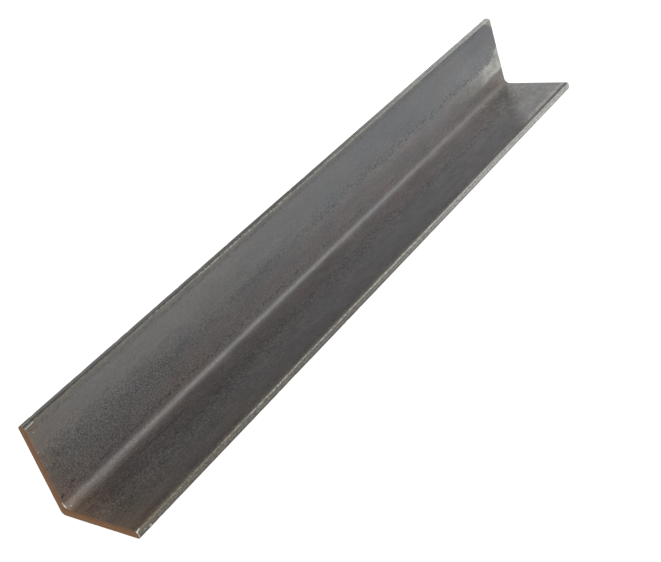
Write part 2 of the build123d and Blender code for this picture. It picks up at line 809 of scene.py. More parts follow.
    def browned(self, skin: Skin) -> np.ndarray:
        """Share of the brown tint."""
        start, stop = 0.008, 0.03
        return heights(
            skin,
            Zone("near end", fall(0, 0.14, 0.2)),
            Zone("near end of the flat leg", fall(0, 0.14, 0.4), part=Part.FLAT),
            Zone("near half", fall(0, 0.6, 0.15)),
            Zone("near half of the flat leg", fall(0, 0.6, 0.05), part=Part.FLAT),
            Zone("tip of the flat leg", fall(0.01, 0.05, 0.5), part=Part.FLAT),
            Zone("tip of the upright leg", fall(start, stop, 0.55), part=Part.UPRIGHT),
            Zone("tip by its toe", fall(start, stop, 0.5), climb(44, 50), Part.UPRIGHT),
            Zone("far root", climb(0.88, 0.96, 0.5), fall(12, 17), Part.UPRIGHT),
            Zone("outside", level(0.15), part=Part.OUTER),
            Zone("patches outside", part=Part.OUTER, hills=Hills(28, 50, 12, 0.2)),
            Zone("towards the toes", fall(0.25, 0.6, 0.13), climb(32, 44)),
            Zone("toes", fall(0.25, 0.6, 0.1), self.toes),
            Zone("upright toe", fall(0.5, 0.8, 0.2), part=Part.UPRIGHT_TOE),
            Zone("flat toe's near end", fall(0, 0.25, 0.2), self.toes, Part.FLAT),
            Zone("by the flat toe", reach=climb(46, 50, 0.45), part=Part.FLAT),
            Zone("less on the flat toe", reach=climb(51, 53.5, -0.225), part=Part.FLAT),
            Hills(12, 16, 8, 0.12),
        ) + self.far_brown * self.far_flat.over(skin)

    def blued(self, skin: Skin) -> np.ndarray:
        """Share of the blue tint."""
        patchy = climb(-0.4, 0.6, 0.4)
        return heights(
            skin,
            Zone("upright leg", climb(0.3, 0.8), climb(20, 34), Part.UPRIGHT),
            Zone("flat leg", climb(0, 0.3, 0.6), climb(18, 26), Part.FLAT),
            Zone("patches outside", part=Part.OUTER, hills=Hills(29, 90, 16, cut=patchy)),
        )

    def plummed(self, skin: Skin) -> np.ndarray:
        """Share of the plum tint, in bands with ragged borders."""
        ragged = Hills(17, 24, 9, 3.0)
        on_flat = heights(
            skin,
            Zone("flat leg", level(0.4), part=Part.FLAT),
            Zone("by the root", reach=fall(16, 22, 0.5), part=Part.FLAT, wander=ragged),
        )
        return on_flat * (1 - self.far_flat.over(skin)) + heights(
            skin,
            Zone("upright band", fall(0.85, 1.02, 0.7), fall(10, 25), Part.UPRIGHT, wander=ragged),
            Zone("outside", level(0.3), part=Part.OUTER),
            Zone("less at the near end", fall(0, 0.14, -0.3), part=Part.FLAT),
        )

    def creamed(self, skin: Skin) -> np.ndarray:
        """Share of the cream tint."""
        return heights(
            skin,
            Zone("toes", Ease((0.4, 1), (0.9, 0.3)), self.toes),
            Zone("root", reach=fall(2, 5, 0.1)),
        ) + self.far_cream * self.far_flat.over(skin)

    def film(self, skin: Skin) -> np.ndarray:
        """How much glossy film the scale has: little on the upright toe up to midway."""
        inner = blend(self.flat_film.over(skin), self.upright_film.over(skin), skin.upright)
        at_root = fall(2.5, 5).of(skin.reach)
        inner = blend(inner, self.root_film.of(skin.along), at_root)
        inner = inner * (1 + heights(
            skin,
            Zone("haze", climb(0.8, 0.9, 0.3), part=Part.FLAT, hills=Hills(19, 6, 4)),
            Zone("rubbed far end", climb(0.88, 0.98, -0.63), part=Part.UPRIGHT),
            Zone("far end", climb(0.88, 0.98, -0.08), part=Part.FLAT),
        ))
        film = np.where(skin.inner > 0, inner, self.outer_film)
        strip = climb(-19, -9, 0.7).of(self.past(skin)) * skin.parts[Part.FLAT]
        film = film * (1 - strip * (1 - self.reflection_corner(skin)))
        up_toe, flat_toe = Ease((0.45, 0.12), (1, 1)), Ease((0.4, 0.6), (0.9, 1))
        film = blend(film, up_toe.of(skin.along), skin.parts[Part.UPRIGHT_TOE])
        film = blend(film, flat_toe.of(skin.along), skin.parts[Part.FLAT_TOE])
        film = film * (1 - self.rim_bare * self.rim(skin)) * (1 + Hills(18, 30, 12, 0.08).over(skin))
        return np.clip(film, 0, 1)

    def dry(self, skin: Skin) -> np.ndarray:
        """Where the scale is dull and dry: in the root's far end, and on the toes' outer corners."""
        root = Zone("far end of the root", climb(0.8, 1, 0.2), fall(3, 6))
        return root.over(skin) + self.rim_dry * self.rim(skin)

    def grain(self, skin: Skin) -> np.ndarray:
        """Strength of the fine grain: leathery at the near end, and in a belt along each leg."""
        high = Ease((0, 51), (0.2, 44)).of(skin.along)
        on_upright = fall(-18, 0, 1.2).of(skin.reach - high)
        edge = Ease((0.4, 38), (0.55, 27)).of(skin.along)
        smooth = climb(0, 9).of(skin.reach - edge) * fall(51.5, 53, 0.5).of(skin.reach)
        on_flat = (0.75 + Bell(24, 9, 0.7).of(skin.reach)) * (1 - smooth)
        belt = blend(on_flat, on_upright, skin.upright) * skin.inner
        patchy = climb(-0.5, 0.5, 0.5)
        belt = belt + heights(
            skin,
            Zone("flat toe", level(0.8), part=Part.FLAT_TOE),
            Zone("patches outside", part=Part.OUTER, hills=Hills(30, 70, 12, cut=patchy)),
        )
        strength = heights(
            skin,
            Zone("stronger towards the near end", Ease((0.02, 1), (0.4, 0.4))),
            Zone("flat leg", level(0.1), part=Part.FLAT),
        )
        strength = strength * climb(-4, 12).of(skin.y.max() - np.abs(skin.y))
        least, most = 0.1, blend(1.22, 1.18, skin.upright)
        grain = least + belt * strength + Hills(13, 30, 12, 0.12).over(skin)
        return np.clip(grain, 0, most) * Ease((4, 0.5), (7, 1)).of(skin.reach)

    def speckle(self, skin: Skin) -> np.ndarray:
        """Dark flecks where two zones of scale meet: on lines along each leg."""
        wander = Hills(25, 24, 24, 2.0)
        line = Ease((0.1, 0.2), (0.4, 0.4), (0.57, 0.4), (0.65, 0.65), (0.82, 0.65), (0.92, 0.85))
        on_upright = Zone("line along the middle", line, Bell(26.3, 2.1), wander=wander)
        patch = Zone("rubbed patch", climb(0.85, 0.95, 0.45), Bell(25, 7))
        on_upright = np.maximum(on_upright.over(skin), patch.over(skin)) + heights(
            skin,
            Zone("by the root", Ease((0.35, 0.85), (0.5, 0.5)), Bell(7.3, 0.9)),
            Zone("line below the toe", reach=Bell(51.1, 0.9, 0.5)),
            Zone("clusters", fall(0.1, 0.35, 0.5), fall(38, 44),
                 hills=Hills(33, 4, 3, cut=climb(0.5, 0.9))),
        )
        centre = Ease((0.55, 20.5), (0.75, 22.5)).of(skin.along)
        spread = Ease((0, 4.5), (0.6, 3.2)).of(skin.along)
        weight = Ease((0.1, 0.5), (0.35, 0.65), (0.8, 0.65), (1, 0)).of(skin.along)
        on_flat = weight * hump(skin.reach + wander.over(skin), centre, spread) + heights(
            skin,
            Zone("far end", climb(0.8, 0.9, 0.3)),
            Zone("by the toe", reach=Bell(51.5, 1.2, 0.6), wander=wander),
        )
        toes = heights(
            skin,
            Zone("upright toe's far half", climb(0.4, 0.8, 0.5), part=Part.UPRIGHT_TOE),
            Zone("flat toe", level(0.5), part=Part.FLAT_TOE),
        )
        inner = on_upright * skin.parts[Part.UPRIGHT] + on_flat * skin.parts[Part.FLAT]
        return np.maximum(inner, toes)

    def burnish(self, skin: Skin) -> np.ndarray:
        """A mottled patch rubbed towards bare steel, low on the upright leg's far end."""
        ragged = Hills(15, 6, 6, 1.5).over(skin)
        low = Ease((0.84, 20), (0.9, 12.2), (0.94, 12.2), (0.965, 13.5)).of(skin.along)
        high = Ease((0.965, 24.5), (1, 33)).of(skin.along)
        above_low = climb(-1.5, 1.5).of(skin.reach - low - 0.4 * ragged)
        below_high = fall(-2, 1.5).of(skin.reach - high + ragged)
        fade = climb(0.8, 0.9, 0.2).of(skin.along) + climb(0.89, 1, 0.57).of(skin.along)
        tip = climb(46, 50, 0.5).of(skin.reach - 0.7 * (skin.y.max() - skin.y))
        toe = Zone("by the flat toe", climb(0.86, 0.91, 0.5), Bell(50.2, 1), Part.FLAT)
        inner = (above_low * below_high * fade + tip) * skin.parts[Part.UPRIGHT] + toe.over(skin)
        section = skin.section
        depth = np.hypot(skin.x - section.heel_x, skin.z) / section.heel_radius
        patchy = Hills(31, 9, 20, cut=climb(-0.2, 0.6))
        heel = fall(0.4, 1.7, 0.5).of(depth) * Zone("heel", part=Part.OUTER, hills=patchy).over(skin)
        return (1 + Hills(20, 4, 4, 0.5).over(skin)) * inner + heel

    def rust(self, skin: Skin) -> np.ndarray:
        """Rust on the dressed edges of the sawn ends."""
        from_end = skin.y.max() - np.abs(skin.y) + Hills(16, 5, 4, 0.2).over(skin)
        return fall(0, 0.3).of(from_end)


# ---------------------------------------------------------------------------------------------
# The bar
# ---------------------------------------------------------------------------------------------


@dataclass
class AngleBar:
    """The rolled bar: one closed mesh with its relief, and the maps that its finish reads.

    Fields:
        section: the L and its divisions.
        length: the bar's length.
        wear: how the finish varies over the skin.
        scale: the finish of the skin.
        rust: the finish of the sawn ends.
        edge_break: width of the dressed edge round both sawn ends.
        length_steps: steps along the bar.
        end_step_share: size of a step at the sawn ends, as a share of one in the middle.
        end_stretch: how far from an end the steps stay fine.
        sharp_angle: bend at which an edge looks sharp, in degrees.
        roll_wave: the long soft waves left by the rolls.
        roll_streak: the fine lengthwise streaks.
        leather: the leathery bumps, which are at their full height at the near end.
        leather_least: their height away from that end, as a share.
        nicks: the nicks along the toes, whose height is how deep they are.
        nick_width: how far they spread across the toe.
        dents: small hollows in the inner faces.
    """

    section: Section
    length: float
    wear: Wear
    scale: "MillScale"
    rust: "SawnRust"
    edge_break: float = 0.12
    length_steps: int = 362
    end_step_share: float = 0.3
    end_stretch: float = 9.0
    sharp_angle: float = 32.0
    roll_wave: Hills = Hills(7, 90, 30, 0.06)
    roll_streak: Hills = Hills(8, 220, 3, 0.012)
    leather: Hills = Hills(9, 3.2, 3.0, 0.035, octaves=1)
    leather_least: float = 0.3
    nicks: Hills = Hills(10, 5, 9, 0.12, cut=climb(0.45, 0.95))
    nick_width: float = 1.2
    dents: tuple[Spot, ...] = (
        Spot(Part.UPRIGHT, -239, 10.3, 0.25, 1.2, 0.9),
        Spot(Part.UPRIGHT, -239.5, 28.6, 0.2, 1.0, 1.1),
        Spot(Part.UPRIGHT, -172, 41.3, 0.12, 1.1, 0.9),
    )

    def stations(self) -> np.ndarray:
        """Y of each ring of points, closer together near the sawn ends.

        The step between rings grows from the end share to 1 as one minus e to the minus
        distance over the stretch. The density of rings is one over the step, and the rings
        stand at equal steps of the density added up.
        """
        half = self.length / 2 - self.edge_break
        samples = 20 * self.length_steps + 1
        fine = np.linspace(-half, half, samples)
        from_end = half - np.abs(fine)
        step = 1 - (1 - self.end_step_share) * np.exp(-from_end / self.end_stretch)
        density = 1 / step
        total = np.concatenate([[0.0], np.cumsum((density[1:] + density[:-1]) / 2)])
        return np.interp(np.linspace(0, total[-1], self.length_steps + 1), total, fine)

    def build(self) -> bpy.types.Object:
        """Works out the points, the faces and the finish maps, and makes the mesh.

        Returns:
            The bar's object, at the origin, dressed and linked into the scene.
        """
        skin = Skin(self.section, self.stations())
        points, quads, sawn = self.close_ends(self.skin_points(skin), skin.ring)
        mesh = bpy.data.meshes.new(PIECE)
        mesh.from_pydata((points * MM).tolist(), [], quads.tolist())
        mesh.polygons.foreach_set("use_smooth", np.ones(len(quads), bool))
        mesh.polygons.foreach_set("material_index", sawn.astype(np.int32))
        mesh.update()
        mesh.set_sharp_from_angle(angle=math.radians(self.sharp_angle))
        for kind, values in self.wear.maps(skin).items():
            self.store(mesh, kind, self.with_ends(values))
        self.store(mesh, Map.ACROSS, self.across_ends())
        mesh.materials.append(self.scale.material(skin))
        mesh.materials.append(self.rust.material())
        bar = bpy.data.objects.new(PIECE, mesh)
        bpy.context.scene.collection.objects.link(bar)
        return bar

    def relief(self, skin: Skin) -> np.ndarray:
        """How far each point of the skin stands off the true section, along its normal.

        It is the sum of long soft waves, fine lengthwise streaks, leathery bumps and the
        dents, with nicks along the toes. Outside the inner faces, and in their last stretch
        before the toes, it is never above zero, so that the bar keeps its stock size.
        """
        near = rise(skin.y, -0.1 * self.length, -0.5 * self.length)
        total = heights(skin, self.roll_wave, self.roll_streak)
        total = total + (self.leather_least + near) * self.leather.over(skin)
        total = total - heights(skin, *self.dents)
        width = self.section.inner_width
        toe = np.maximum(climb(-3, -1).of(skin.reach - width), 1 - skin.inner)
        total = blend(total, -np.abs(total), toe)
        return total - self.nicks.over(skin) * hump(skin.reach, width, self.nick_width)

    def skin_points(self, skin: Skin) -> np.ndarray:
        """The skin's points: section point plus relief times its normal, carried along Y."""
        relief = self.relief(skin)
        x = skin.x + relief * skin.ring.normals[None, :, 0]
        z = skin.z + relief * skin.ring.normals[None, :, 1]
        return np.stack([x, skin.y, z], axis=-1)


    def close_ends(self, skin: np.ndarray, ring: Path) -> tuple[np.ndarray, ...]:
        """Adds the dressed edges and the sawn faces to the skin.

        A dressed edge is one more ring, moved outwards along Y and into the metal by the
        same amount. A sawn face is a grid between the outer and inner sides of that ring:
        point (s, t) is t of the way from the outer side's point s to the inner side's.

        Args:
            skin: (rings, points, 3) coordinates of the skin.
            ring: the true outline, for its normals.

        Returns:
            All points, all four-sided faces, and which faces are sawn.
        """
        inwards = np.stack([ring.normals[:, 0], 0 * ring.normals[:, 0], ring.normals[:, 1]], -1)
        near, far = skin[0] - inwards * self.edge_break, skin[-1] - inwards * self.edge_break
        near[:, 1], far[:, 1] = -self.length / 2, self.length / 2
        rings = np.concatenate([near[None], skin, far[None]])
        bands = self.band_quads(*rings.shape[:2])
        first = rings.shape[0] * rings.shape[1]
        near_face = self.sawn_face(near, 0, first)
        far_face = self.sawn_face(far, first - len(far), first + len(near_face[0]))
        points = np.concatenate([rings.reshape(-1, 3), near_face[0], far_face[0]])
        quads = np.concatenate([bands, near_face[1], far_face[1][:, ::-1]])
        return points, quads, np.arange(len(quads)) >= len(bands)

    @staticmethod
    def band_quads(rows: int, columns: int) -> np.ndarray:
        """Faces between each ring and the next, closed round the section, facing outwards."""
        start = np.arange(rows - 1)[:, None] * columns
        here = start + np.arange(columns)[None]
        beside = start + (np.arange(columns)[None] + 1) % columns
        corners = [here, here + columns, beside + columns, beside]
        return np.stack(corners, -1).reshape(-1, 4)

    def sawn_index(self) -> tuple[np.ndarray, np.ndarray]:
        """Grid of a sawn face: ring points on its border, and its inner points numbered on.

        Returns:
            Point numbers, counted from the ring's first point on the border and from the
            first inner point inside, and a mask of the inner ones.
        """
        side, toe = self.section.side_steps, self.section.toe_steps
        count = 2 * (side + toe)
        index = np.zeros((side + 1, toe + 1), int)
        index[:, 0] = np.arange(side + 1)
        index[side] = side + np.arange(toe + 1)
        index[:, toe] = 2 * side + toe - np.arange(side + 1)
        index[0] = (count - np.arange(toe + 1)) % count
        inside = np.zeros(index.shape, bool)
        inside[1:side, 1:toe] = True
        index[inside] = np.arange((side - 1) * (toe - 1))
        return index, inside

    def sawn_face(self, edge: np.ndarray, ring_first: int,
                  face_first: int) -> tuple[np.ndarray, np.ndarray]:
        """The grid that fills one end of the bar.

        Args:
            edge: the end ring's points.
            ring_first: number of the ring's first point in the mesh.
            face_first: number that the new points start from.

        Returns:
            The new inner points, and the faces, looking along -Y.
        """
        index, inside = self.sawn_index()
        side, toe = self.section.side_steps, self.section.toe_steps
        share = (np.arange(1, toe) / toe)[None, :, None]
        outer, inner = edge[index[1:side, 0]][:, None], edge[index[1:side, toe]][:, None]
        grid = index + np.where(inside, face_first, ring_first)
        corners = [grid[:-1, :-1], grid[1:, :-1], grid[1:, 1:], grid[:-1, 1:]]
        return blend(outer, inner, share).reshape(-1, 3), np.stack(corners, -1).reshape(-1, 4)

    def with_ends(self, values: np.ndarray) -> np.ndarray:
        """A map of the skin, carried onto the dressed edges and, as zeros, the sawn faces."""
        rings = np.concatenate([values[:1], values, values[-1:]])
        rings = rings.reshape(-1, *values.shape[2:])
        inner = 2 * (self.section.side_steps - 1) * (self.section.toe_steps - 1)
        return np.concatenate([rings, np.zeros((inner, *values.shape[2:]))])

    def across_ends(self) -> np.ndarray:
        """Share of the way across the thickness, from the outer side, at every point."""
        index, inside = self.sawn_index()
        share = np.broadcast_to(np.linspace(0, 1, self.section.toe_steps + 1), index.shape)
        border = np.zeros(index[~inside].max() + 1)
        border[index[~inside]] = share[~inside]
        rings = np.tile(border, self.length_steps + 3)
        return np.concatenate([rings, share[inside], share[inside]])

    @staticmethod
    def store(mesh: bpy.types.Mesh, kind: Map, values: np.ndarray) -> None:
        """Gives the mesh one finish map: a number at each point, or a colour of three."""
        if values.ndim == 1:
            layer = mesh.attributes.new(kind.value, "FLOAT", "POINT")
            layer.data.foreach_set("value", values.astype(np.float32))
            return
        layer = mesh.attributes.new(kind.value, "FLOAT_COLOR", "POINT")
        opaque = np.concatenate([values, np.ones((len(values), 1))], axis=1)
        layer.data.foreach_set("color", opaque.astype(np.float32).ravel())


# ---------------------------------------------------------------------------------------------
# Finishes
# ---------------------------------------------------------------------------------------------


@dataclass(frozen=True)
class Noise:
    """Soft random numbers about 0.5, in Object coordinates.

    Fields:
        cell: size of a hill across the bar, in millimetres.
        stretch: how many times longer a hill is along the bar.
        detail: how many finer layers are added.
        roughness: how strong the finer layers are.
        shift: moves the pattern.
    """

    cell: float
    stretch: float = 1.0
    detail: float = 2.0
    roughness: float = 0.5
    shift: Place = (0.0, 0.0, 0.0)


class Graph:
    """The nodes of a material or a world, built up by short calls that return sockets."""

    def __init__(self, owner: bpy.types.Material | bpy.types.World) -> None:
        """Starts on the nodes that a new material or world comes with."""
        owner.use_nodes = True
        self.tree = owner.node_tree

    @cached_property
    def shader(self) -> bpy.types.Node:
        """The plain shader that a new material comes with."""
        return self.tree.nodes["Principled BSDF"]

    @cached_property
    def place(self) -> Socket:
        """Object coordinates."""
        return self.node("ShaderNodeTexCoord").outputs["Object"]

    def feed(self, socket: Socket, value: Feed) -> None:
        """Links a socket to an input, or sets the input to a plain value."""
        if isinstance(value, Socket):
            self.tree.links.new(value, socket)
        elif isinstance(value, tuple) and socket.type == "RGBA":
            socket.default_value = (*value, 1.0)
        else:
            socket.default_value = value

    def node(self, kind: str, inputs: dict[str | int, Feed] | None = None,
             **settings: str) -> bpy.types.Node:
        """Adds a node.

        Args:
            kind: its type.
            inputs: what goes into which of its inputs, by name or number.
            **settings: its other settings.

        Returns:
            The node.
        """
        node = self.tree.nodes.new(kind)
        for name, value in settings.items():
            setattr(node, name, value)
        for name, value in (inputs or {}).items():
            self.feed(node.inputs[name], value)
        return node

    def read(self, kind: Map, output: str = "Fac") -> Socket:
        """The number, or as output Color the colour, that the mesh carries for a map."""
        return self.node("ShaderNodeAttribute", attribute_name=kind.value).outputs[output]

    def maths(self, operation: str, *values: Feed) -> Socket:
        """One operation on numbers, such as ADD or MULTIPLY."""
        inputs = dict(enumerate(values))
        return self.node("ShaderNodeMath", inputs, operation=operation).outputs[0]

    def times(self, *values: Feed) -> Socket:
        """The product of two or more numbers."""
        result = values[0]
        for value in values[1:]:
            result = self.maths("MULTIPLY", result, value)
        return result

    def plus(self, *values: Feed) -> Socket:
        """The sum of two or more numbers."""
        result = values[0]
        for value in values[1:]:
            result = self.maths("ADD", result, value)
        return result

    def greater(self, first: Feed, second: Feed) -> Socket:
        """The greater of two numbers."""
        return self.maths("MAXIMUM", first, second)

    def less(self, share: Feed, amount: float = 1.0) -> Socket:
        """1 less an amount of a share."""
        return self.plus(1.0, self.times(share, -amount))

    def vector(self, operation: str, *values: Feed) -> bpy.types.Node:
        """One operation on vectors, such as SUBTRACT or LENGTH."""
        return self.node("ShaderNodeVectorMath", dict(enumerate(values)), operation=operation)

    def along(self) -> Socket:
        """Distance along the bar from its middle."""
        return self.node("ShaderNodeSeparateXYZ", {0: self.place}).outputs[1]

    def height(self) -> Socket:
        """Height above the floor."""
        return self.along().node.outputs[2]

    def unrolled(self) -> Socket:
        """The skin unrolled flat: distance along the bar, and distance round the section."""
        inputs = {0: self.along(), 1: self.read(Map.AROUND)}
        return self.node("ShaderNodeCombineXYZ", inputs).outputs[0]

    def stroke(self, place: Socket, start: Point, end: Point, width: float) -> Socket:
        """A straight stroke over the unrolled skin.

        The distance to the stroke is that to start + t (end - start), where t is the
        share of the way along it that is nearest, kept from 0 to 1.

        Args:
            place: the unrolled place to shade.
            start: the stroke's first point.
            end: its last point.
            width: distance at which it has faded out.

        Returns:
            1 on the stroke, 0 away from it.
        """
        least_square = 1e-12
        span = (end[0] - start[0], end[1] - start[1], 0.0)
        square = max(span[0] ** 2 + span[1] ** 2, least_square)
        offset = self.vector("SUBTRACT", place, (*start, 0.0)).outputs["Vector"]
        along = self.vector("DOT_PRODUCT", offset, span).outputs["Value"]
        share = self.grade(along, 0.0, square, smooth=False)
        aside = self.vector("SUBTRACT", offset, self.scale(span, share)).outputs["Vector"]
        distance = self.vector("LENGTH", aside).outputs["Value"]
        return self.grade(distance, width, 0.0)

    def grade(self, value: Feed, low: float, high: float, start: float = 0.0,
              end: float = 1.0, smooth: bool = True) -> Socket:
        """A number graded from start, where the value is low, to end, where it is high.

        Args:
            value: the number to grade.
            low: value that gives start.
            high: value that gives end.
            start: result at low and below it.
            end: result at high and above it.
            smooth: the grading eases in and out.

        Returns:
            The graded number.
        """
        inputs = {"Value": value, "From Min": low, "From Max": high, "To Min": start, "To Max": end}
        easing = "SMOOTHSTEP" if smooth else "LINEAR"
        return self.node("ShaderNodeMapRange", inputs, interpolation_type=easing).outputs["Result"]

    def sway(self, noise: Feed, spread: float, amount: float, middle: float = 0.0,
             smooth: bool = False) -> Socket:
        """A number that sways evenly about a middle with some noise.

        Args:
            noise: random numbers about 0.5.
            spread: how far from 0.5 the noise gives the whole sway.
            amount: the sway to each side, or below 0 a sway against the noise.
            middle: the number where the noise is 0.5.
            smooth: the sway eases in and out.

        Returns:
            The number.
        """
        low, high = 0.5 - spread, 0.5 + spread
        return self.grade(noise, low, high, middle - amount, middle + amount, smooth)

    def noise(self, noise: Noise) -> Socket:
        """The numbers of a noise."""
        across = 1 / (noise.cell * MM)
        along = 1 / (noise.cell * MM * noise.stretch)
        mapping = self.node("ShaderNodeMapping", {
            "Vector": self.place, "Location": noise.shift, "Scale": (across, along, across)})
        return self.node("ShaderNodeTexNoise", {
            "Vector": mapping.outputs["Vector"], "Scale": 1.0,
            "Detail": noise.detail, "Roughness": noise.roughness}).outputs["Fac"]

    def mix(self, share: Feed, first: Feed, second: Feed) -> Socket:
        """A colour: the first where the share is 0 and the second where it is 1."""
        inputs = {"Factor": share, 6: first, 7: second}
        return self.node("ShaderNodeMix", inputs, data_type="RGBA").outputs[2]

    def scale(self, colour: Feed, factor: Feed) -> Socket:
        """A colour made lighter or darker by a factor."""
        node = self.vector("SCALE", colour)
        self.feed(node.inputs["Scale"], factor)
        return node.outputs[0]

    def bump(self, height: Feed, depth: float, strength: float) -> Socket:
        """A surface direction tilted by a height.

        Args:
            height: the height, from 0 to 1.
            depth: what a height of 1 means, in metres.
            strength: share of the tilt that is used.

        Returns:
            The tilted direction.
        """
        inputs = {"Strength": strength, "Distance": depth, "Height": height}
        return self.node("ShaderNodeBump", inputs).outputs["Normal"]


@dataclass(frozen=True)
class MillScale:
    """Dark satin scale from the rolls, over steel that shows where it is rubbed.

    Fields:
        base: lightness of the plain scale.
        cool: tint of the cool patches.
        warm: tint of the warm patches.
        steel: colour of the steel where it is rubbed bare.
        glint: colour of the painted glints: highlights on the near end's edges and on the toes'
        bright line, partly bare chips.
        rust: colour of the rust.
        metallic: how metallic the scale is.
        roughness: roughness of the scale.
        film_roughness: roughness of the film over it.
        bump_depth: depth of the finest relief.
        bump_share: share of its tilt that shows.
        grain_sway: how much the finest grain lightens and darkens the scale.
        leather_dark: how much darker the leather's creases are.
        speck_dark: how much darker the specks are.
        crease_dark: how much darker the crease inside the toes is.
        bare_metallic: how much more metallic bare steel is.
        bare_smooth: how much smoother bare steel is.
        rust_rough: how much rougher rust is.
        dry_rough: how much rougher dry scale is.
        line_shine: how bare the toes' bright line is, and how strong its painted highlight.
        fine: the finest grain.
        fleck: light and dark flecks.
        pits: pits in the scale, and the specks.
        veins: the leather's creases.
        streak: long streaks.
        mottle: large patches.
        threads: fine threads inside the toes.
        dashes: the short breaks in the toes' bright line.
        stretches: the long breaks in it.
        gaps: the breaks in the crease inside it.
        wander: how both lines wander.
        ragged: how the marks' borders are broken up.
        marks: thin marks on the inner side.
    """

    base: float = 0.125
    cool: Colour = (0.98, 1.00, 1.02)
    warm: Colour = (1.03, 1.00, 0.97)
    steel: Colour = (0.46, 0.455, 0.41)
    glint: Colour = (0.80, 0.80, 0.76)
    rust: Colour = (0.32, 0.145, 0.055)
    metallic: float = 0.1
    roughness: float = 0.5
    film_roughness: float = 0.2
    bump_depth: float = 0.06
    bump_share: float = 0.5
    grain_sway: float = 0.6
    leather_dark: float = 0.2
    speck_dark: float = 0.7
    crease_dark: float = 0.75
    bare_metallic: float = 0.3
    bare_smooth: float = 0.15
    rust_rough: float = 0.3
    dry_rough: float = 0.27
    line_shine: float = 0.8
    fine: Noise = Noise(0.66, 1.4)
    fleck: Noise = Noise(1.8, 1.8, shift=(3.0, 1.0, 2.0))
    pits: Noise = Noise(1.1, 1.9, 3.0, 0.6, (4.0, 6.0, 1.0))
    veins: Noise = Noise(1.8, 1.3, shift=(1.0, 4.0, 2.0))
    streak: Noise = Noise(1.4, 40.0, 3.0, 0.6)
    mottle: Noise = Noise(11.0, 2.5, 3.0, 0.55)
    threads: Noise = Noise(0.65, 16.0, shift=(7.0, 3.0, 9.0))
    dashes: Noise = Noise(0.8, 2.5, 3.0, 0.6, (5.0, 2.0, 1.0))
    stretches: Noise = Noise(3.0, 12.0, shift=(2.0, 7.0, 3.0))
    gaps: Noise = Noise(1.2, 3.5, 2.0, 0.6, (8.0, 1.0, 5.0))
    wander: Noise = Noise(4.0, 6.0)
    ragged: Noise = Noise(1.5)
    marks: tuple[Mark, ...] = (
        # Marks above 0 are dents and dark scratches. Marks below 0 are mixed towards the glint colour: the
        # short ones at the near end's edges and toes are painted glints, partly bare chips, and the long
        # thin ones are pale scratches.
        Mark(Part.UPRIGHT, (-238.8, 10.3), (-237.6, 9.6), 1.2, 0.75),
        Mark(Part.UPRIGHT, (-239.6, 28.6), (-239.0, 29.3), 1.0, 0.75),
        Mark(Part.UPRIGHT, (-172.4, 41.3), (-171.6, 41.3), 0.9, 0.6),
        Mark(Part.FLAT, (-221.0, 6.3), (-198.0, 6.0), 0.5, -0.12),
        Mark(Part.FLAT, (-219.0, 7.3), (-196.0, 6.9), 0.5, 0.25),
        Mark(Part.FLAT, (-201.0, 10.5), (-160.0, 11.5), 2.2, 0.3),
        Mark(Part.FLAT, (-133.0, 17.5), (-117.0, 17.2), 0.7, 0.25),
        Mark(Part.UPRIGHT, (-246.3, 49.1), (-246.0, 49.1), 0.6, -0.35),
        Mark(Part.UPRIGHT, (-248.9, 37.9), (-248.7, 37.9), 0.5, -0.5),
        Mark(Part.UPRIGHT, (-249.7, 4.4), (-249.7, 1.4), 0.6, -1.0),
        Mark(Part.FLAT, (-247.2, 2.0), (-246.8, 2.0), 0.6, -0.8),
        Mark(Part.UPRIGHT, (-249.4, 53.7), (-243.6, 53.9), 0.45, -0.65),
        Mark(Part.FLAT, (-249.8, 54.6), (-247.2, 54.2), 0.5, -0.9),
        Mark(Part.FLAT, (-249.6, 54.2), (-249.6, 57.0), 0.5, -0.7),
        Mark(Part.FLAT, (-245.0, 55.6), (-244.4, 55.8), 0.5, -0.5),
        Mark(Part.FLAT, (-241.4, 56.6), (-240.6, 56.6), 0.7, -0.7),
        Mark(Part.UPRIGHT, (-249.2, 55.6), (-244.0, 55.2), 0.4, -0.4),
        Mark(Part.FLAT, (-246.0, 4.6), (-221.0, 5.4), 0.5, -0.15),
    )

    def material(self, skin: Skin) -> bpy.types.Material:
        """The finish as a material.

        Args:
            skin: says where round the section the marks and the toes' lines lie.

        Returns:
            The material.
        """
        made = bpy.data.materials.new("mill_scale")
        g = Graph(made)
        fine, fleck, pits = g.noise(self.fine), g.noise(self.fleck), g.noise(self.pits)
        streak, mottle = g.noise(self.streak), g.noise(self.mottle)
        grain = g.read(Map.GRAIN)
        veins = g.maths("ABSOLUTE", g.plus(g.noise(self.veins), -0.5))
        leather = g.times(grain, grain, g.grade(veins, 0.06, 0.0))
        dark, bright = self.marked(g, skin)
        specks = g.times(g.read(Map.SPECKLE), g.grade(pits, 0.48, 0.58))
        crease, line = self.crease(g, skin), self.toe_line(g, skin)
        lightness = g.times(
            g.read(Map.TONE),
            self.base,
            g.plus(1.0, g.times(grain, g.sway(fine, 0.2, self.grain_sway))),
            g.plus(1.0, self.threaded(g, skin)),
            g.less(leather, self.leather_dark),
            g.less(specks, self.speck_dark),
            g.less(crease, self.crease_dark),
            g.sway(pits, 0.25, -0.16, 1.0),
            g.less(dark),
            g.sway(fleck, 0.25, 0.08, 1.0),
            g.sway(streak, 0.3, 0.06, 1.0),
            g.sway(mottle, 0.3, 0.08, 1.0),
        )
        patches = g.mix(g.grade(mottle, 0.3, 0.7), self.cool, self.warm)
        tint = g.vector("MULTIPLY", g.read(Map.TINT, "Color"), patches).outputs[0]
        burnish = g.read(Map.BURNISH)
        rubbed = g.plus(burnish, g.times(g.sway(fine, 0.2, 0.3, smooth=True), burnish))
        rubbed = g.greater(rubbed, line)
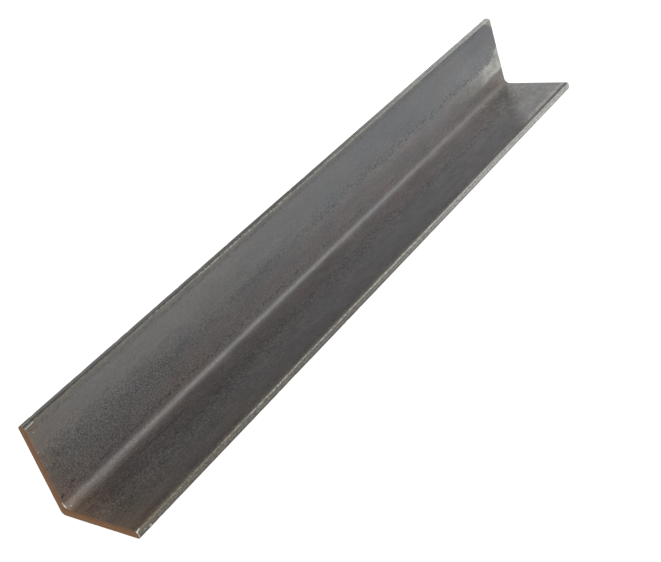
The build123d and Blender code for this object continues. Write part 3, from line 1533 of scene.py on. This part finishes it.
        # The toes' line also takes a share of painted highlight, towards the glint colour.
        bright = g.greater(bright, g.times(line, 0.2))
        rusty = g.plus(g.read(Map.RUST), g.sway(fleck, 0.3, 0.2, smooth=True))
        rusty = g.times(g.grade(rusty, 0.3, 0.8), g.less(bright))
        bare = g.times(g.greater(rubbed, bright), g.less(rusty))
        rubbed = g.times(rubbed, g.less(crease, 0.5), g.less(specks, 0.3))
        colour = g.mix(rubbed, g.scale(tint, lightness), self.steel)
        # The painted glints go over the rust as near-white highlights.
        colour = g.mix(rusty, g.mix(bright, colour, self.glint), self.rust)
        metallic = g.times(g.plus(self.metallic, g.times(bare, self.bare_metallic)), g.less(rusty))
        roughness = g.plus(
            self.roughness,
            g.times(bare, -self.bare_smooth),
            g.times(rusty, self.rust_rough),
            g.times(g.read(Map.DRY), self.dry_rough),
            g.sway(fleck, 0.3, 0.05, smooth=True),
        )
        film = g.times(g.read(Map.FILM), g.less(rusty), g.less(specks, 0.4), g.less(crease, 0.6),
                       g.sway(fine, 0.3, 0.15, 1.0, smooth=True))
        height = g.plus(g.times(grain, fine), g.times(leather, -0.5), g.times(streak, 0.25))
        g.feed(g.shader.inputs["Base Color"], colour)
        g.feed(g.shader.inputs["Metallic"], metallic)
        g.feed(g.shader.inputs["Roughness"], roughness)
        g.feed(g.shader.inputs["Coat Weight"], film)
        g.feed(g.shader.inputs["Coat Roughness"], self.film_roughness)
        g.feed(g.shader.inputs["Normal"], g.bump(height, self.bump_depth * MM, self.bump_share))
        return made

    def marked(self, g: Graph, skin: Skin) -> tuple[Socket, Socket]:
        """The marks: how much they darken, and how bright their painted glints shine.

        Args:
            g: the graph to build in.
            skin: says where round the section the marks lie.

        Returns:
            The darkening and the shine, each from 0 to 1.
        """
        chaos = g.noise(self.ragged).node.outputs["Color"]
        swing = 0.8 * MM
        shift = g.vector("MULTIPLY_ADD", chaos, 3 * (swing,), 3 * (-swing / 2,))
        place = g.vector("ADD", g.unrolled(), shift.outputs[0]).outputs[0]
        totals = {True: 0.0, False: 0.0}
        for mark in self.marks:
            start, end = ((along * MM, skin.place(mark.leg, reach) * MM)
                          for along, reach in (mark.start, mark.end))
            part = g.times(g.stroke(place, start, end, mark.width * MM), abs(mark.strength))
            totals[mark.strength > 0] = g.plus(totals[mark.strength > 0], part)
        return totals[True], totals[False]

    def threaded(self, g: Graph, skin: Skin) -> Socket:
        """Fine light and dark threads along both legs, just inside the toes' corners."""
        belt = self.line_at(g, skin, skin.section.inner_width - 1.9, 2.6 * MM)
        return g.times(belt, g.sway(g.noise(self.threads), 0.15, 0.24, smooth=True))

    def toe_line(self, g: Graph, skin: Skin) -> Socket:
        """A thin broken line along the middle of both toes' inner corners: rubbed bare, and partly a
        painted highlight where the round catches the light.
        """
        lower, upper = 20 * MM, 40 * MM
        corner = skin.section.inner_width - skin.section.toe_inner_radius * (1 - math.sin(math.pi / 4))
        width = g.grade(g.height(), lower, upper, 0.65 * MM, 1.1 * MM, False)
        near_fade, far_fade = g.grade(g.along(), -0.2, -0.12, 0.4), g.grade(g.along(), 0.0, 0.15, 1.0, 0.35)
        return g.times(
            self.line_at(g, skin, corner + 0.1, width),
            g.grade(g.noise(self.dashes), 0.4, 0.66, 0.1),
            g.grade(g.noise(self.stretches), 0.3, 0.6, 0.15),
            g.times(near_fade, far_fade),
            g.grade(g.height(), lower, upper, 1.0, 0.72),
            self.line_shine,
        )

    def crease(self, g: Graph, skin: Skin) -> Socket:
        """A thin uneven dark line, where both inner faces end at their toes' corners."""
        corner = skin.section.inner_width - skin.section.toe_inner_radius
        line = self.line_at(g, skin, corner + 0.2, 1.1 * MM)
        radius = skin.section.root_radius
        middle = skin.place(Part.UPRIGHT, radius)
        on_flat = g.grade(g.read(Map.AROUND), middle * MM, (middle - radius) * MM)
        on_flat = g.times(on_flat, g.grade(g.along(), 0.12, 0.17, 0.1, 1.0))
        share = g.greater(on_flat, g.grade(g.along(), 0.05, 0.17, 0.1, 0.55))
        return g.times(line, g.grade(g.noise(self.gaps), 0.38, 0.6, 0.15, 1.15), share)

    def line_at(self, g: Graph, skin: Skin, reach: float, width: Feed) -> Socket:
        """A wandering line along both legs.

        Args:
            g: the graph to build in.
            skin: says where round the section the line lies.
            reach: its distance from the other leg's inner face.
            width: distance in metres at which it has faded out.

        Returns:
            1 on the line, 0 away from it.
        """
        wander = g.sway(g.noise(self.wander), 0.3, 0.3 * MM)
        around = g.read(Map.AROUND)
        gaps = [g.maths("ABSOLUTE", g.plus(around, -skin.place(leg, reach) * MM, wander))
                for leg in LEGS]
        return g.grade(g.maths("MINIMUM", *gaps), width, 0.1 * MM)


@dataclass(frozen=True)
class SawnRust:
    """Brown rust on a sawn face, in blooms and crusts and darker along its edges.

    Fields:
        brown: the rust's own colour.
        red: its colour in fresh blooms, towards the inner edge.
        gold: its colour in yellower stretches.
        dark: its colour in crusts and along both edges.
        roughness: how rough it is.
        bump_depth: depth of its relief.
        bump_share: share of its tilt that shows.
        bloom: the fresh blooms.
        crust: the crusts.
        olive: the yellower stretches.
    """

    brown: Colour = (0.295, 0.136, 0.047)
    red: Colour = (0.26, 0.103, 0.045)
    gold: Colour = (0.27, 0.15, 0.055)
    dark: Colour = (0.07, 0.045, 0.03)
    roughness: float = 0.75
    bump_depth: float = 0.15
    bump_share: float = 0.6
    bloom: Noise = Noise(5.0, 1.0, 3.0, 0.6)
    crust: Noise = Noise(0.8, 1.0, 3.0, 0.6)
    olive: Noise = Noise(14.0, shift=(3.0, 5.0, 2.0))

    def material(self) -> bpy.types.Material:
        """The finish as a material."""
        made = bpy.data.materials.new("sawn_rust")
        g = Graph(made)
        crust, across = g.noise(self.crust), g.read(Map.ACROSS)
        red = g.times(g.grade(g.noise(self.bloom), 0.42, 0.62), g.grade(across, 0.2, 0.8, 0.3, 1.0))
        ragged = g.plus(across, g.sway(crust, 0.2, 0.1, smooth=True))
        colour = g.mix(red, self.brown, self.red)
        colour = g.mix(g.grade(g.noise(self.olive), 0.5, 0.62, 0.0, 0.8), colour, self.gold)
        outer_edge = g.grade(across, 0.16, 0.02, 0.0, 0.7)
        inner_edge = g.grade(ragged, 0.5, 1.0, 0.0, 0.55)
        crusts = g.grade(crust, 0.55, 0.75, 0.0, 0.5)
        upright_leg = g.grade(g.height(), 5 * MM, 12 * MM, 0.0, 0.14)
        for share in (outer_edge, inner_edge, crusts, upright_leg):
            colour = g.mix(share, colour, self.dark)
        g.feed(g.shader.inputs["Base Color"], colour)
        g.feed(g.shader.inputs["Roughness"], self.roughness)
        g.feed(g.shader.inputs["Normal"], g.bump(crust, self.bump_depth * MM, self.bump_share))
        return made


# ---------------------------------------------------------------------------------------------
# The studio
# ---------------------------------------------------------------------------------------------


@dataclass(frozen=True)
class Viewpoint:
    """The camera: where it stands, which way it looks and how much it takes in.

    Fields:
        place: where the lens is.
        heading: turn of the view from +Y towards -X, in degrees.
        dip: how far the view looks down from level, in degrees.
        roll: turn about the line of sight, in degrees.
        focal: focal length in frame widths.
        lift: shift of the frame, in frame widths.
        sensor: the sensor's width in millimetres.
    """

    place: Place = (0.47646, -0.51265, 0.37766)
    heading: float = 43.915
    dip: float = 26.457
    roll: float = -18.628
    focal: float = 1230.9 / FRAME_PIXELS
    lift: float = -50.5 / FRAME_PIXELS
    sensor: float = 36.0

    def build(self) -> bpy.types.Object:
        """Makes the camera and gives it to the scene."""
        data = bpy.data.cameras.new("camera")
        data.sensor_width = self.sensor
        data.sensor_fit = "HORIZONTAL"
        data.lens = self.focal * self.sensor
        data.shift_y = self.lift
        camera = bpy.data.objects.new("camera", data)
        turn = Matrix.Rotation(math.radians(self.heading), 3, "Z")
        tilt = Matrix.Rotation(math.radians(90 - self.dip), 3, "X")
        spin = Matrix.Rotation(math.radians(self.roll), 3, "Z")
        camera.rotation_euler = (turn @ tilt @ spin).to_euler()
        camera.location = self.place
        bpy.context.scene.collection.objects.link(camera)
        bpy.context.scene.camera = camera
        return camera


@dataclass(frozen=True)
class SoftLamp:
    """A square lamp that faces the bar.

    Fields:
        name: the lamp's name.
        place: where it hangs.
        side: its side.
        power: its power in watts.
    """

    name: str
    place: Place
    side: float
    power: float

    def build(self, aim: Place) -> bpy.types.Object:
        """Hangs the lamp, facing a point.

        Args:
            aim: the point.

        Returns:
            The lamp.
        """
        data = bpy.data.lights.new(self.name, "AREA")
        data.size = self.side
        data.energy = self.power
        lamp = bpy.data.objects.new(self.name, data)
        lamp.location = self.place
        lamp.rotation_euler = (Vector(aim) - Vector(self.place)).to_track_quat("-Z", "Y").to_euler()
        bpy.context.scene.collection.objects.link(lamp)
        return lamp


@dataclass(frozen=True)
class Studio:
    """A pale floor, a white surround and four soft lamps.

    Fields:
        floor_half_side: half the floor's side.
        floor_drop: gap between the floor and the bar's underside.
        floor_paint: how much light the floor's paint scatters.
        floor_glow: light that the camera and reflections see added to the paint's.
        surround: strength of the surround as a lamp.
        aim: the point that the lamps face.
        lamps: the lamps.
    """

    floor_half_side: float = 4.0
    floor_drop: float = 0.3 * MM
    floor_paint: float = 0.8
    floor_glow: float = 0.8
    surround: float = 0.25
    aim: Place = (0.0, 0.0, 0.03)
    lamps: tuple[SoftLamp, ...] = (
        SoftLamp("key", (1.4, -0.3, 0.35), 1.0, 7.0),
        SoftLamp("far", (0.6, 0.7, 0.6), 0.8, 3.6),
        SoftLamp("front", (-0.2, -1.3, 0.3), 0.8, 3.0),
        SoftLamp("back", (-1.3, 0.3, 0.4), 1.0, 4.0),
    )

    def build(self) -> None:
        """Makes the floor, the surround and the lamps."""
        self.floor()
        self.world()
        for lamp in self.lamps:
            lamp.build(self.aim)
        bpy.context.scene.view_settings.view_transform = "Standard"

    def floor(self) -> bpy.types.Object:
        """The floor, a plain square."""
        half, low = self.floor_half_side, -self.floor_drop
        corners = [(-half, -half, low), (half, -half, low), (half, half, low), (-half, half, low)]
        mesh = bpy.data.meshes.new("floor")
        mesh.from_pydata(corners, [], [(0, 1, 2, 3)])
        mesh.materials.append(self.paint())
        floor = bpy.data.objects.new("floor", mesh)
        bpy.context.scene.collection.objects.link(floor)
        return floor

    def paint(self) -> bpy.types.Material:
        """Pale paint, to which the camera and reflections see a white glow added."""
        made = bpy.data.materials.new("floor_paint")
        g = Graph(made)
        g.tree.nodes.clear()
        diffuse = g.node("ShaderNodeBsdfDiffuse", {"Color": 3 * (self.floor_paint,)})
        glow = g.node("ShaderNodeEmission", {"Strength": self.seen(g, 0.0, self.floor_glow)})
        both = g.node("ShaderNodeAddShader", {0: diffuse.outputs[0], 1: glow.outputs[0]})
        g.node("ShaderNodeOutputMaterial", {"Surface": both.outputs[0]})
        return made

    def world(self) -> None:
        """A white surround, dimmer as a lamp than it looks."""
        world = bpy.data.worlds.new("surround")
        bpy.context.scene.world = world
        g = Graph(world)
        background = g.tree.nodes["Background"]
        g.feed(background.inputs["Color"], (1.0, 1.0, 1.0))
        g.feed(background.inputs["Strength"], self.seen(g, self.surround, 1.0))

    @staticmethod
    def seen(g: Graph, otherwise: float, seen: float) -> Socket:
        """One number for what the camera sees, straight or by gloss or glass, and another.

        Args:
            g: the graph to build in.
            otherwise: the number for light that falls on things.
            seen: the number for what the camera sees.

        Returns:
            The number.
        """
        rays = g.node("ShaderNodeLightPath").outputs
        either = g.greater(rays["Is Camera Ray"], rays["Is Glossy Ray"])
        either = g.greater(either, rays["Is Transmission Ray"])
        return g.grade(either, 0.0, 1.0, otherwise, seen, smooth=False)


def main() -> None:
    """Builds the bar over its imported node, and the studio round it."""
    logging.basicConfig(level=logging.INFO, format="%(name)s: %(message)s")
    low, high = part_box(NODE)
    section = Section(heel_x=low.x / MM, leg_width=high.z / MM)
    length = (high.y - low.y) / MM
    bar = AngleBar(section, length, Wear(), MillScale(), SawnRust()).build()
    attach(bar, BODY)
    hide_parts(NODE)
    log.info("%s: %d faces, %d points", bar.name, len(bar.data.polygons), len(bar.data.vertices))
    Studio().build()
    Viewpoint().build()


if __name__ == "__main__":
    main()
